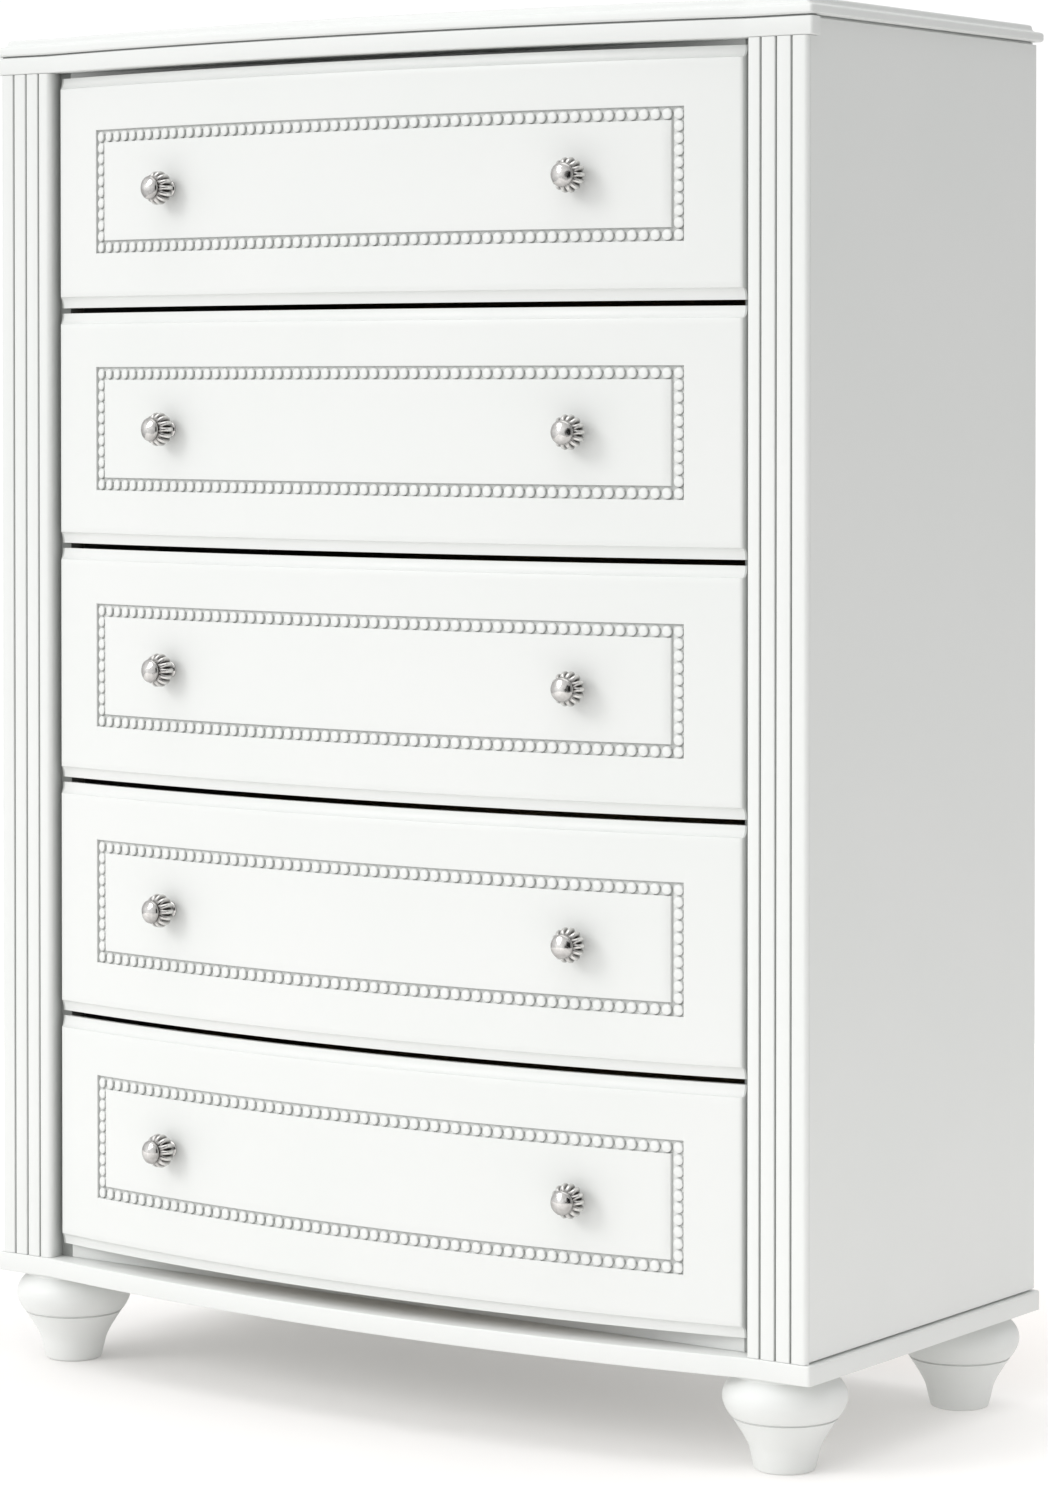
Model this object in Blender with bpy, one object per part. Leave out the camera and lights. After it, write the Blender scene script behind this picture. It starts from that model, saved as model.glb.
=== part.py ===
"""A tall chest of five bow-front drawers on four turned feet, with every piece as its own object.

Sizes are in metres. +X is to the right, -Y is the front and +Z is up. The origin is on the floor, under the
middle of the chest's box. A depth below is a distance behind the pilasters' front faces, so a negative depth
stands in front of them; y_at() turns a depth into Y. The chest is symmetric about X = 0.
"""

import math

import bmesh
import bpy
from mathutils import Matrix, Vector

# ---- Driving sizes -------------------------------------------------------------------------------------

GAP = 0.0003  # left between two pieces that touch
CARCASS_WIDTH = 0.920
CARCASS_DEPTH = 0.406
HALF_WIDTH = CARCASS_WIDTH / 2
PANEL_THICK = 0.016
BACK_THICK = 0.005

FOOT_HEIGHT = 0.0867
BASE_THICK = 0.0180
RAIL_SHOWING = 0.0140  # how much of the bottom rail shows under the lowest drawer
DRAWER_COUNT = 5
FRONT_HEIGHT = 0.2215
DRAWER_PITCH = 0.22665
TOP_CLEARANCE = 0.0054  # between the top drawer and the moulding above it
MOULDING_HEIGHT = 0.0178
SLAB_THICK = 0.0161

BASE_TOP = FOOT_HEIGHT + BASE_THICK
LOWEST_FRONT = BASE_TOP + RAIL_SHOWING
HIGHEST_FRONT = LOWEST_FRONT + (DRAWER_COUNT - 1) * DRAWER_PITCH + FRONT_HEIGHT
MOULDING_BOTTOM = HIGHEST_FRONT + TOP_CLEARANCE
SLAB_BOTTOM = MOULDING_BOTTOM + MOULDING_HEIGHT
SLAB_TOP = SLAB_BOTTOM + SLAB_THICK

# The boards that reach past the carcass: how far at each side, at the front and at the back.
SLAB_OVERHANG = (0.0050, 0.0015, 0.0070)
BASE_OVERHANG = (0.0040, 0.0015, 0.0050)
MOULDING_SIDE = 0.0035
MOULDING_FRONT = 0.0005
BOARD_BOW = 0.0370  # how far those boards bow out between the pilasters
BOARD_CORNER = 0.0030  # radius of their corners in plan
BOARD_EASE = 0.0012  # how far the boards' edges are taken off
REVEAL = 0.0008  # height of the groove between moulding and slab
REVEAL_DEPTH = 0.0040
MOULDING_BACK = 0.0150  # depth of the moulding's back
# The slab's edge from below, as (height above its underside, inset): it is rounded under, stands upright for
# half its height, steps in over a small ledge and rises to a rounded top.
SLAB_EDGE = [
    (0.0000, 0.0018), (0.0018, 0.0000), (0.0068, 0.0000), (0.0084, 0.0010), (0.0092, 0.0034),
    (0.0098, 0.0064), (0.0116, 0.0076), (0.0146, 0.0082), (0.0157, 0.0094), (SLAB_THICK, 0.0115),
]

# The posts at the front corners: each is a reeded pilaster whose inner back edge is a stile, and the drawer
# fronts close between the pilasters, on the stiles.
FRAME_DEPTH = 0.0180
STILE_THICK = 0.0180
STILE_INNER = 0.3858
PILASTER_INNER = 0.3979
PILASTER_RADIUS = 0.0044
PANEL_FRONT = PILASTER_RADIUS + 2 * GAP  # where the side panels start, behind the rounded corner
REED_COUNT = 4
FIRST_REED = 0.0167  # width of the outermost one
REED_PITCH = 0.0157
REED_CROWN = 0.0005
REED_STEPS = 4
GROOVE_HALF = 0.0008
GROOVE_DEPTH = 0.0022
BOTTOM_RAIL_HEIGHT = 0.0230
TOP_RAIL_HEIGHT = 0.0440
# A shallow rebate leaves a shadow line along the top and the bottom of each side panel.
TOP_SHADOW = 0.0024
BOTTOM_SHADOW = 0.0020
SHADOW_DEPTH = 0.0040

# Drawer fronts.
FACE_DEPTH = 0.0068  # of a front's face at its ends
FACE_HALF = 0.3900
LIP_HALF = 0.3914
FRONT_BOW = 0.0391
FRONT_THICK = FRAME_DEPTH - GAP - FACE_DEPTH
COVE_HEIGHT = 0.0105
COVE_DEPTH = 0.0058
COVE_QUIRK = 0.0008  # the small step where the cove leaves the face
CHANNEL_HALF = 0.3354
CHANNEL_HEIGHT = 0.1175
CHANNEL_WIDTH = 0.0118
CHANNEL_DEPTH = 0.0035

# Drawer boxes and the runners they slide on.
BOX_HALF = 0.3840
BOX_WALL = 0.0120
BOX_BACK = 0.3850
BOX_LIFT = 0.0125  # from the bottom of the front to the bottom of the box
BOX_HEIGHT = 0.1800
BACK_DROP = 0.0060  # the box's back is that much lower than its sides
BOTTOM_LIFT = 0.0100
BOTTOM_THICK = 0.0050
BOTTOM_GROOVE = 0.0050
RUNNER_LIFT = 0.0900
RUNNER_THICK = 0.0120
RUNNER_GROOVE = 0.0060
RUNNER_CLEARANCE = 0.0006

# Knobs and feet.
KNOB_X = 0.2317
KNOB_RIBS = 10
KNOB_RIB_DEPTH = 0.0011
KNOB_LENGTH = 0.0320
KNOB_BALL = 0.0152  # distance of the ribbed ball's middle from the drawer's face
KNOB_BALL_LENGTH = 0.0100  # half the ball's length along the knob
KNOB_BALL_RADIUS = 0.0147
KNOB_RIB_REACH = 0.0085  # the ribs end this far from the ball's middle
FOOT_FROM_SIDE = 0.0508
FOOT_FROM_FRONT = 0.0475
FOOT_FROM_BACK = 0.0505
FOOT_SIDES = 24

BOW_STEPS = 16
COVE_STEPS = 3
CORNER_STEPS = 2


def bow_at(x, rise, half):
    """How far a circular arc of this rise, between -half and half, stands forward at x."""
    if abs(x) >= half:
        return 0.0
    radius = (half**2 + rise**2) / (2 * rise)
    return math.sqrt(radius**2 - x**2) - (radius - rise)


def front_bow(x):
    return bow_at(x, FRONT_BOW, FACE_HALF)


KNOB_TURN = math.asin(KNOB_X * 2 * FRONT_BOW / (FACE_HALF**2 + FRONT_BOW**2))
FRONT_REACH = front_bow(KNOB_X) - FACE_DEPTH + KNOB_LENGTH * math.cos(KNOB_TURN)
BACK_REACH = CARCASS_DEPTH + SLAB_OVERHANG[2]
PILASTER_FACE = (FRONT_REACH - BACK_REACH) / 2


def y_at(depth):
    return PILASTER_FACE + depth


# ---- Objects and materials -----------------------------------------------------------------------------


def clear_scene():
    for obj in list(bpy.data.objects):
        bpy.data.objects.remove(obj, do_unlink=True)


def make_material(name, colour, roughness, metallic=0.0):
    material = bpy.data.materials.new(name)
    material.use_nodes = True
    shader = material.node_tree.nodes["Principled BSDF"]
    shader.inputs["Base Color"].default_value = (*colour, 1.0)
    shader.inputs["Roughness"].default_value = roughness
    shader.inputs["Metallic"].default_value = metallic
    return material


def make_empty(name, place=(0, 0, 0), parent=None):
    empty = bpy.data.objects.new(name, None)
    empty.location = place
    empty.parent = parent
    bpy.context.scene.collection.objects.link(empty)
    return empty


def make_object(name, bm, material, parent, smooth_angle=30):
    """Turns the bmesh into an object under parent, shaded smooth where its faces meet at a low angle."""
    bmesh.ops.recalc_face_normals(bm, faces=bm.faces)
    mesh = bpy.data.meshes.new(name)
    bm.to_mesh(mesh)
    bm.free()
    mesh.shade_smooth()
    mesh.set_sharp_from_angle(angle=math.radians(smooth_angle))
    mesh.materials.append(material)
    obj = bpy.data.objects.new(name, mesh)
    obj.parent = parent
    bpy.context.scene.collection.objects.link(obj)
    return obj


# ---- Shapes --------------------------------------------------------------------------------------------


def loft(rings):
    """A closed solid whose skin runs from ring to ring, each with the same number of points."""
    bm = bmesh.new()
    loops = [[bm.verts.new(point) for point in ring] for ring in rings]
    for low, high in zip(loops, loops[1:]):
        for i in range(len(low)):
            j = (i + 1) % len(low)
            bm.faces.new((low[i], low[j], high[j], high[i]))
    bm.faces.new(loops[0][::-1])
    bm.faces.new(loops[-1])
    return bm


def prism(outline, axis, low, high):
    """The outline, given in the other two axes in X, Y, Z order, drawn out along axis from low to high."""
    at = "XYZ".index(axis)

    def ring(value):
        return [Vector((*point[:at], value, *point[at:])) for point in outline]

    return loft([ring(low), ring(high)])


def block(x, depth, z):
    """A board between two X values, two depths and two heights."""
    corners = [(x[0], z[0]), (x[1], z[0]), (x[1], z[1]), (x[0], z[1])]
    return prism(corners, "Y", y_at(depth[0]), y_at(depth[1]))


def arc(centre, radius, start, end, steps):
    """Points of a circular arc in a plane, with its angles in degrees."""
    angles = [math.radians(start + (end - start) * i / steps) for i in range(steps + 1)]
    return [(centre[0] + radius * math.cos(a), centre[1] + radius * math.sin(a)) for a in angles]


def turned(profile, sides, rib=lambda height, angle: 0.0):
    """A shape turned about Z from its (height, radius) profile, with rib() added to the radius."""

    def ring(height, radius):
        points = []
        for i in range(sides):
            angle = math.tau * i / sides
            r = radius + rib(height, angle)
            points.append(Vector((r * math.cos(angle), r * math.sin(angle), height)))
        return points

    return loft([ring(*point) for point in profile])


def mirrored(bm):
    """The same shape on the other side of X = 0."""
    copy = bm.copy()
    bmesh.ops.scale(copy, vec=(-1, 1, 1), verts=copy.verts)
    return copy


def make_pair(kind, bm, material, parent):
    """A right-hand piece and its mirror image on the left."""
    make_object("left_" + kind, mirrored(bm), material, parent)
    make_object("right_" + kind, bm, material, parent)


# ---- Carcass -------------------------------------------------------------------------------------------


def plan_outline(side, front, back, radius=BOARD_CORNER):
    """Outline from above of a board that reaches past the carcass, with its front bowed between pilasters."""
    half = HALF_WIDTH + side
    near = y_at(-front)
    far = y_at(back)
    corners = arc((half - radius, far - radius), radius, 90, 0, CORNER_STEPS)
    corners += arc((half - radius, near + radius), radius, 0, -90, CORNER_STEPS)
    points = list(corners)
    for i in range(BOW_STEPS + 1):
        x = PILASTER_INNER * (1 - 2 * i / BOW_STEPS)
        points.append((x, near - bow_at(x, BOARD_BOW, PILASTER_INNER)))
    points += [(-x, y) for x, y in reversed(corners)]
    return points


def bowed_board(layers, side, front, back, back_follows=False):
    """A bowed board built up from (height, inset) layers; an inset takes that much off its sides and front.

    Its back keeps upright unless it follows the insets as well.
    """
    rings = []
    for height, inset in layers:
        far = back - inset if back_follows else back
        rings.append([(x, y, height) for x, y in plan_outline(side - inset, front - inset, far)])
    return loft(rings)


def make_top_and_base(paint, carcass):
    side, front, back = SLAB_OVERHANG
    layers = [(SLAB_BOTTOM + height, inset) for height, inset in SLAB_EDGE]
    slab = bowed_board(layers, side, front, CARCASS_DEPTH + back, back_follows=True)
    make_object("top_slab", slab, paint, carcass)

    top = SLAB_BOTTOM - GAP
    step = SLAB_BOTTOM - REVEAL
    ease = BOARD_EASE
    layers = [
        (MOULDING_BOTTOM, ease), (MOULDING_BOTTOM + ease, 0), (step - ease, 0), (step, ease),
        (step, REVEAL_DEPTH), (top, REVEAL_DEPTH),
    ]
    board = bowed_board(layers, MOULDING_SIDE, MOULDING_FRONT, MOULDING_BACK - GAP)
    make_object("top_moulding", board, paint, carcass)

    side, front, back = BASE_OVERHANG
    layers = [(FOOT_HEIGHT, ease), (FOOT_HEIGHT + ease, 0), (BASE_TOP - ease, 0), (BASE_TOP, ease)]
    make_object("base_board", bowed_board(layers, side, front, CARCASS_DEPTH + back), paint, carcass)


def pilaster_outline():
    """The right-hand pilaster from above, counted in from the carcass's corner.

    Four crowned reeds are parted by narrow grooves, and both front corners are rounded. Behind them the post
    carries on inwards as the stile that the drawer fronts close on, and it is rebated for the side panel.
    """
    width = HALF_WIDTH - PILASTER_INNER
    edges = [0.0] + [FIRST_REED + REED_PITCH * i for i in range(REED_COUNT - 1)] + [width]
    points = arc((PILASTER_RADIUS, PILASTER_RADIUS), PILASTER_RADIUS, 180, 270, 3)
    for reed in range(REED_COUNT):
        low = edges[reed] + GROOVE_HALF
        high = edges[reed + 1] - GROOVE_HALF
        if reed:
            points.append((edges[reed], GROOVE_DEPTH))
        else:
            low += PILASTER_RADIUS
        if reed == REED_COUNT - 1:
            high -= PILASTER_RADIUS
        for i in range(REED_STEPS + 1):
            across = i / REED_STEPS
            points.append((low + (high - low) * across, REED_CROWN * (2 * across - 1) ** 2))
    points += arc((width - PILASTER_RADIUS, PILASTER_RADIUS), PILASTER_RADIUS, 270, 360, 3)
    stile = HALF_WIDTH - STILE_INNER
    back = FRAME_DEPTH + STILE_THICK
    points += [(width, FRAME_DEPTH), (stile, FRAME_DEPTH), (stile, back), (PANEL_THICK, back)]
    points += [(PANEL_THICK, PANEL_FRONT - GAP), (0, PANEL_FRONT - GAP)]
    return [(HALF_WIDTH - inwards, y_at(depth)) for inwards, depth in points]


def side_panel(low, inner):
    """The right-hand side panel: notched for the moulding's end, and rebated outside at its top and bottom."""
    front = y_at(PANEL_FRONT)
    notch = y_at(MOULDING_BACK)
    back = y_at(CARCASS_DEPTH)

    def ring(x, bottom, top):
        shoulder = MOULDING_BOTTOM - GAP
        outline = [(front, bottom), (back, bottom), (back, top), (notch, top)]
        outline += [(notch, shoulder), (front, shoulder)]
        return [(x, y, z) for y, z in outline]

    high = SLAB_BOTTOM - GAP
    rebate = HALF_WIDTH - SHADOW_DEPTH
    return loft([
        ring(inner, low, high),
        ring(rebate, low, high),
        ring(rebate + GAP, low + BOTTOM_SHADOW, high - TOP_SHADOW),
        ring(HALF_WIDTH, low + BOTTOM_SHADOW, high - TOP_SHADOW),
    ])


def make_carcass(paint, board, carcass):
    low = BASE_TOP + GAP
    panel_inner = HALF_WIDTH - PANEL_THICK
    pilaster = prism(pilaster_outline(), "Z", low, MOULDING_BOTTOM - GAP)
    make_pair("pilaster", pilaster, paint, carcass)

    make_pair("side_panel", side_panel(low, panel_inner + GAP), paint, carcass)

    frame = (FRAME_DEPTH, FRAME_DEPTH + STILE_THICK)
    full_height = (low, SLAB_BOTTOM - GAP)
    between = (-STILE_INNER + GAP, STILE_INNER - GAP)
    make_object("bottom_rail", block(between, frame, (low, low + BOTTOM_RAIL_HEIGHT)), paint, carcass)
    heights = (SLAB_BOTTOM - GAP - TOP_RAIL_HEIGHT, SLAB_BOTTOM - GAP)
    make_object("top_rail", block(between, frame, heights), paint, carcass)
    across = (-panel_inner, panel_inner)
    depths = (CARCASS_DEPTH - BACK_THICK, CARCASS_DEPTH)
    make_object("back_panel", block(across, depths, full_height), board, carcass)


def foot_profile():
    """Heights and radii of a foot: a tapered shaft that flares to a ring line, then a bun and a short neck."""
    shaft = [(0, 0.0262), (0.0020, 0.0274), (0.0120, 0.0297), (0.0207, 0.0319), (0.0280, 0.0356)]
    bun = [(0.0352, 0.0399), (0.0470, 0.0478), (0.0563, 0.0537), (0.0643, 0.0555), (0.0730, 0.0537)]
    neck = [(0.0803, 0.0479), (0.0840, 0.0455), (FOOT_HEIGHT - GAP, 0.0455)]
    return shaft + bun + neck


def make_feet(paint, carcass):
    x = HALF_WIDTH - FOOT_FROM_SIDE
    rows = {"front": y_at(FOOT_FROM_FRONT), "rear": y_at(CARCASS_DEPTH - FOOT_FROM_BACK)}
    for row, y in rows.items():
        for hand, sign in (("left", -1), ("right", 1)):
            foot = make_object(f"foot_{row}_{hand}", turned(foot_profile(), FOOT_SIDES), paint, carcass)
            foot.location = (sign * x, y, 0)


def make_runners(number, bottom, wood, carcass):
    """The two boards, fixed to the side panels, whose edges run in the grooves of a drawer's sides."""
    low = bottom + BOX_LIFT + RUNNER_LIFT
    inner = BOX_HALF - RUNNER_GROOVE + RUNNER_CLEARANCE
    depths = (FRAME_DEPTH + STILE_THICK + GAP, CARCASS_DEPTH - BACK_THICK - GAP)
    right = block((inner, HALF_WIDTH - PANEL_THICK), depths, (low, low + RUNNER_THICK))
    make_object(f"runner_{number}_left", mirrored(right), wood, carcass)
    make_object(f"runner_{number}_right", right, wood, carcass)


# ---- Drawers -------------------------------------------------------------------------------------------


def front_profile():
    """A drawer front's end, as (depth behind its face, height): a cove runs along its top and bottom edges."""
    hollow = COVE_DEPTH - COVE_QUIRK
    cove = [(COVE_QUIRK + hollow * d, COVE_HEIGHT * h) for d, h in arc((0, 0), 1, 0, 90, COVE_STEPS)]
    # From the back it comes along the underside to the lip, up the hollow and out over the quirk to the face.
    bottom = [(FRONT_THICK, 0)] + cove + [(0, COVE_HEIGHT)]
    top = [(depth, FRONT_HEIGHT - height) for depth, height in reversed(bottom)]
    return bottom + top


def bent(points, x):
    """Places (depth behind the face, height) points at x on the bow."""
    return [(x, y_at(FACE_DEPTH + depth - front_bow(x)), height) for depth, height in points]


def bow_stations(half):
    return [half * (2 * i / BOW_STEPS - 1) for i in range(BOW_STEPS + 1)]


def make_channel_cutter(bottom):
    """A ring that sinks a channel for the beading into a drawer's face."""
    middle = bottom + FRONT_HEIGHT / 2
    outer = CHANNEL_HEIGHT / 2
    inner = outer - CHANNEL_WIDTH
    ends = [-CHANNEL_HALF, -CHANNEL_HALF + CHANNEL_WIDTH, CHANNEL_HALF - CHANNEL_WIDTH, CHANNEL_HALF]
    stations = ends[:2] + bow_stations(FACE_HALF)[1:-1] + ends[2:]
    stations = sorted(x for x in set(stations) if abs(x) <= CHANNEL_HALF)
    rows = [middle + offset for offset in (-outer, -inner, inner, outer)]
    bm = bmesh.new()
    grid = {}
    for layer, depth in enumerate((-CHANNEL_DEPTH, CHANNEL_DEPTH)):
        for column, x in enumerate(stations):
            for row, z in enumerate(rows):
                grid[layer, column, row] = bm.verts.new(bent([(depth, z)], x)[0])
    last = len(stations) - 1
    cells = {(c, r) for c in range(last) for r in range(3)}
    cells -= {(c, 1) for c in range(1, last - 1)}
    for c, r in cells:
        for layer in (0, 1):
            square = ((c, r), (c + 1, r), (c + 1, r + 1), (c, r + 1))
            bm.faces.new([grid[layer, *corner] for corner in square])
        sides = {
            (c - 1, r): ((c, r), (c, r + 1)),
            (c + 1, r): ((c + 1, r), (c + 1, r + 1)),
            (c, r - 1): ((c, r), (c + 1, r)),
            (c, r + 1): ((c, r + 1), (c + 1, r + 1)),
        }
        for neighbour, (a, b) in sides.items():
            if neighbour not in cells:
                bm.faces.new([grid[0, *a], grid[0, *b], grid[1, *b], grid[1, *a]])
    bmesh.ops.recalc_face_normals(bm, faces=bm.faces)
    mesh = bpy.data.meshes.new("channel_cutter")
    bm.to_mesh(mesh)
    bm.free()
    cutter = bpy.data.objects.new("channel_cutter", mesh)
    cutter.hide_render = True
    cutter.display_type = "WIRE"
    bpy.context.scene.collection.objects.link(cutter)
    return cutter


def make_front(name, bottom, paint, drawer):
    profile = [(depth, bottom + height) for depth, height in front_profile()]
    rings = [bent(profile, x) for x in bow_stations(FACE_HALF)]
    # The ends splay a little, so that the lips are wider than the face.
    for end, sign in ((0, -1), (-1, 1)):
        rings[end] = [
            (sign * (FACE_HALF + (LIP_HALF - FACE_HALF) * min(1, depth / COVE_DEPTH)), y, z)
            for (depth, _), (_, y, z) in zip(profile, rings[end])
        ]
    front = make_object(name, loft(rings), paint, drawer)
    cut = front.modifiers.new("beading_channel", "BOOLEAN")
    cut.operation = "DIFFERENCE"
    cut.object = make_channel_cutter(bottom)


def make_box(number, bottom, wood, drawer):
    """The open box behind a front: two grooved sides, a back, and a bottom that slides into the grooves."""
    low = bottom + BOX_LIFT
    high = low + BOX_HEIGHT
    inner = BOX_HALF - BOX_WALL
    groove_low = low + BOTTOM_LIFT - GAP
    groove_high = low + BOTTOM_LIFT + BOTTOM_THICK + GAP
    runner_low = low + RUNNER_LIFT - RUNNER_CLEARANCE
    runner_high = low + RUNNER_LIFT + RUNNER_THICK + RUNNER_CLEARANCE
    outline = [
        (inner, low), (BOX_HALF, low),
        (BOX_HALF, runner_low), (BOX_HALF - RUNNER_GROOVE, runner_low),
        (BOX_HALF - RUNNER_GROOVE, runner_high), (BOX_HALF, runner_high),
        (BOX_HALF, high), (inner, high),
        (inner, groove_high), (inner + BOTTOM_GROOVE, groove_high),
        (inner + BOTTOM_GROOVE, groove_low), (inner, groove_low),
    ]

    def front_depth(x):
        return FACE_DEPTH + FRONT_THICK + GAP - front_bow(x)

    side = loft([
        [(x, y_at(front_depth(x)), z) for x, z in outline],
        [(x, y_at(BOX_BACK), z) for x, z in outline],
    ])
    make_object(f"drawer_{number}_side_left", mirrored(side), wood, drawer)
    make_object(f"drawer_{number}_side_right", side, wood, drawer)

    across = (-inner + GAP, inner - GAP)
    depths = (BOX_BACK - BOX_WALL, BOX_BACK)
    heights = (groove_high, high - BACK_DROP)
    make_object(f"drawer_{number}_back", block(across, depths, heights), wood, drawer)

    half = inner + BOTTOM_GROOVE - GAP
    outline = [(x, y_at(front_depth(x))) for x in bow_stations(half)]
    outline += [(half, y_at(BOX_BACK)), (-half, y_at(BOX_BACK))]
    floor = prism(outline, "Z", low + BOTTOM_LIFT, low + BOTTOM_LIFT + BOTTOM_THICK)
    make_object(f"drawer_{number}_bottom", floor, wood, drawer)


def knob_profile():
    """Distances from the drawer's face and radii: a collar, a stem, a ribbed ball and a buttoned cap."""
    stem = [(GAP, 0.0075), (0.0018, 0.0075), (0.0062, 0.0052)]
    ball = []
    for angle in (130, 90, 50):
        turn = math.radians(angle)
        along = KNOB_BALL + KNOB_BALL_LENGTH * math.cos(turn)
        ball.append((along, KNOB_BALL_RADIUS * math.sin(turn)))
    cap = [(0.0250, 0.0090), (0.0268, 0.0100), (0.0292, 0.0074), (KNOB_LENGTH, 0.0032)]
    return stem + ball + cap


def knob_rib(height, angle):
    """The ball's ribs, which fade out towards its two poles."""
    reach = max(0.0, 1 - ((height - KNOB_BALL) / KNOB_RIB_REACH) ** 2)
    return KNOB_RIB_DEPTH * math.sqrt(reach) * math.cos(KNOB_RIBS * angle)


def make_knobs(number, bottom, metal, drawer):
    for hand, sign in (("left", -1), ("right", 1)):
        knob = turned(knob_profile(), 2 * KNOB_RIBS, knob_rib)
        # The knob's axis is square to the bow where it stands.
        bmesh.ops.transform(knob, matrix=Matrix.Rotation(math.pi / 2, 4, "X"), verts=knob.verts)
        bmesh.ops.transform(knob, matrix=Matrix.Rotation(sign * KNOB_TURN, 4, "Z"), verts=knob.verts)
        place = (sign * KNOB_X, y_at(FACE_DEPTH - front_bow(KNOB_X)), bottom + FRONT_HEIGHT / 2)
        obj = make_object(f"drawer_{number}_knob_{hand}", knob, metal, drawer)
        obj.location = place


def main():
    clear_scene()
    paint = make_material("white_paint", (0.90, 0.91, 0.90), 0.35)
    wood = make_material("drawer_wood", (0.72, 0.58, 0.42), 0.6)
    board = make_material("back_board", (0.55, 0.42, 0.30), 0.8)
    metal = make_material("knob_metal", (0.70, 0.68, 0.66), 0.2, 1.0)

    carcass = make_empty("carcass")
    make_top_and_base(paint, carcass)
    make_carcass(paint, board, carcass)
    make_feet(paint, carcass)
    for number in range(1, DRAWER_COUNT + 1):
        bottom = LOWEST_FRONT + (DRAWER_COUNT - number) * DRAWER_PITCH
        drawer = make_empty(f"drawer_{number}", parent=carcass)
        make_runners(number, bottom, wood, carcass)
        make_front(f"drawer_{number}_front", bottom, paint, drawer)
        make_box(number, bottom, wood, drawer)
        make_knobs(number, bottom, metal, drawer)


main()
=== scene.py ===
import math
import random

import bmesh
import bpy
from mathutils import Matrix, Vector


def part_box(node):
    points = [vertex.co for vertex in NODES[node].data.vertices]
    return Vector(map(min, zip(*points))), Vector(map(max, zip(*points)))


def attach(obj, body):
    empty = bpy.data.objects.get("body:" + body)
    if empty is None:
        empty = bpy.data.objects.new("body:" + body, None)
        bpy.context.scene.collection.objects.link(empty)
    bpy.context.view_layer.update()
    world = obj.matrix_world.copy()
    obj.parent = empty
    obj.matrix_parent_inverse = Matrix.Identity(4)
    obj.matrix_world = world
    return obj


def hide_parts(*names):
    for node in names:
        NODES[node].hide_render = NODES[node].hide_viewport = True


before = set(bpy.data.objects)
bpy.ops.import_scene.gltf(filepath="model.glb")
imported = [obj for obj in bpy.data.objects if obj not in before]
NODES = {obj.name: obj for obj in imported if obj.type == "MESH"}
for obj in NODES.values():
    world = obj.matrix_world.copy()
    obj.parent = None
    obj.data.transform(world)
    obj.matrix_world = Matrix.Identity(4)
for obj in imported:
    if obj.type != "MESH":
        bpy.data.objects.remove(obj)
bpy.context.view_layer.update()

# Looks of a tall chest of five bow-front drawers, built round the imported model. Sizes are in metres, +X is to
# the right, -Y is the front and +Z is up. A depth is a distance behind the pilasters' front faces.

DRAWERS = range(1, 6)
HANDS = (("left", -1), ("right", 1))

# ---- Sizes that the frame's boxes don't give ---------------------------------------------------------------

GAP = 0.0003  # clearance between neighbouring pieces
HALF_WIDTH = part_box("right_pilaster")[1].x
PILASTER_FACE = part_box("right_pilaster")[0].y
FRONT_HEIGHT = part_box("drawer_1_front")[1].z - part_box("drawer_1_front")[0].z

BOARD_BOW = 0.0370  # how far the top, the moulding and the base bow out between the pilasters
BOARD_CORNER = 0.0030
BOARD_EASE = 0.0012
SLAB_OVERHANG = 0.0015  # how far the top and the base stand in front of the pilasters
MOULDING_OVERHANG = 0.0005
MOULDING_BACK = 0.0150
REVEAL = 0.0014  # height of the dark line between the top and its moulding
REVEAL_DEPTH = 0.0040
# How much painted shade darkens the reveal.
REVEAL_SHADE = 0.7

PANEL_THICK = 0.0160
FRAME_DEPTH = 0.0180
STILE_THICK = 0.0180
STILE_INNER = 0.3858
PILASTER_INNER = 0.3979
PILASTER_RADIUS = 0.0044
PANEL_FRONT = PILASTER_RADIUS + 2 * GAP
FIRST_REED = 0.0167
REED_PITCH = 0.0157
REED_COUNT = 4
REED_CROWN = 0.0005  # how far back a reed's edges lie from its middle
GROOVE_REACH = 0.0014  # half the width of a groove between two reeds
GROOVE_DEPTH = 0.0028

FACE_DEPTH = 0.0068
FACE_HALF = 0.3900
LIP_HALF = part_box("drawer_1_front")[1].x
FRONT_BOW = 0.0391
FRONT_THICK = FRAME_DEPTH - GAP - FACE_DEPTH
COVE_HEIGHT = 0.0105
COVE_DEPTH = 0.0058
COVE_QUIRK = 0.0008
END_ROUND = 0.0042  # how far in from its ends a drawer's face rounds over
CHANNEL_HALF = 0.3354
CHANNEL_HEIGHT = 0.1175
CHANNEL_WIDTH = 0.0118
CHANNEL_DEPTH = 0.0027
CHANNEL_STEPS = (0.0003, 0.0001, -0.0001, -0.0004)  # where the face has points beside a channel's wall
CHANNEL_EASE = 0.0005  # width over which the channel's wall goes down, starting just outside its line
CHANNEL_EASE_START = 0.00035
# Painted shade at the foot of the channel's top and left walls, and how near to them it reaches.
CHANNEL_SHADE = 0.60
CHANNEL_SHADE_REACH = 0.0010

# The depth at which painted shade starts to darken the paint in the grooves and on a pilaster's side by the
# drawers, and how much deeper it is darkest.
GROOVE_SHADE = (0.0006, 0.0016)
POST_SIDE_SHADE = (0.0060, 0.0080)

# Painted shade on a drawer front's ends, darker towards the back, from this share and over this depth.
END_SHADE = 0.25
END_SHADE_DEPTH = 0.012
END_SHADE_REACH = 0.0006

BEADS_ALONG = 60
BEADS_UP = 11
BEAD_RADIUS = 0.0052
BEAD_HEIGHT = 0.0032
BEAD_SIDES = 16
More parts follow.
